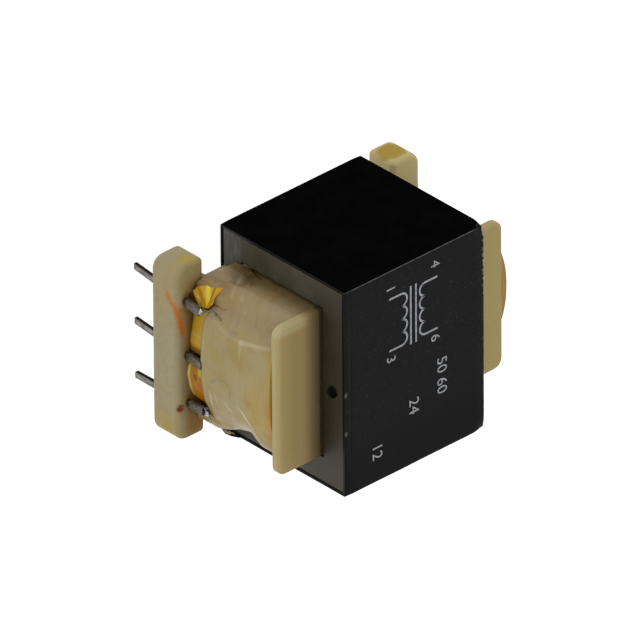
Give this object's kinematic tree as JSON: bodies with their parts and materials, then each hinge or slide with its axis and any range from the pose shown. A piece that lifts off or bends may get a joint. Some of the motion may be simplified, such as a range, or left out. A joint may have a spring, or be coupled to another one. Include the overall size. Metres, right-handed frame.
{
  "type": "pcb transformer",
  "caption": "Small laminated-core mains transformer with a moulded bobbin, a taped coil, a black band round the core and two rows of through-hole pins.",
  "frame": {"origin": "centre of the six pins on the plane of the pin bars' undersides, which stand on the board", "axes": "+Z away from the board, X from one pin row to the other, Y along the pin rows"},
  "size_m": [0.0333, 0.024, 0.0247],
  "materials": {
    "bobbin_nylon": "moulded cream nylon, stained by varnish",
    "pin_metal": "tinned, dull",
    "solder": "dull solder over wound wire",
    "lead_metal": "tinned copper",
    "winding": "enamelled copper",
    "clear_film": "thin polyester film",
    "wrap_tape": "cream translucent tape, varnished",
    "core_steel": "varnished silicon steel",
    "sleeve_black": "black sheet, satin"
  },
  "bodies": {
    "root": {"bobbin": "bobbin_nylon", "terminal_pin_1": "pin_metal", "terminal_pin_2": "pin_metal", "terminal_pin_3": "pin_metal", "terminal_pin_4": "pin_metal", "terminal_pin_5": "pin_metal", "terminal_pin_6": "pin_metal", "solder_joint_1": "solder", "solder_joint_2": "solder", "solder_joint_3": "solder", "solder_joint_4": "solder", "solder_joint_5": "solder", "solder_joint_6": "solder", "lead_wire_1": "lead_metal", "lead_wire_2": "lead_metal", "lead_wire_3": "lead_metal", "lead_wire_4": "lead_metal", "lead_wire_5": "lead_metal", "lead_wire_6": "lead_metal", "primary_winding": "winding", "secondary_winding": "winding", "interwinding_tape": "clear_film", "coil_wrap_tape": "wrap_tape", "lead_film_near": "clear_film", "lead_film_far": "clear_film", "e_laminations": "core_steel", "i_laminations": "core_steel", "end_lamination_e_near": "core_steel", "end_lamination_i_near": "core_steel", "end_lamination_e_far": "core_steel", "end_lamination_i_far": "core_steel", "core_sleeve": "sleeve_black"}
  },
  "joints": []
}
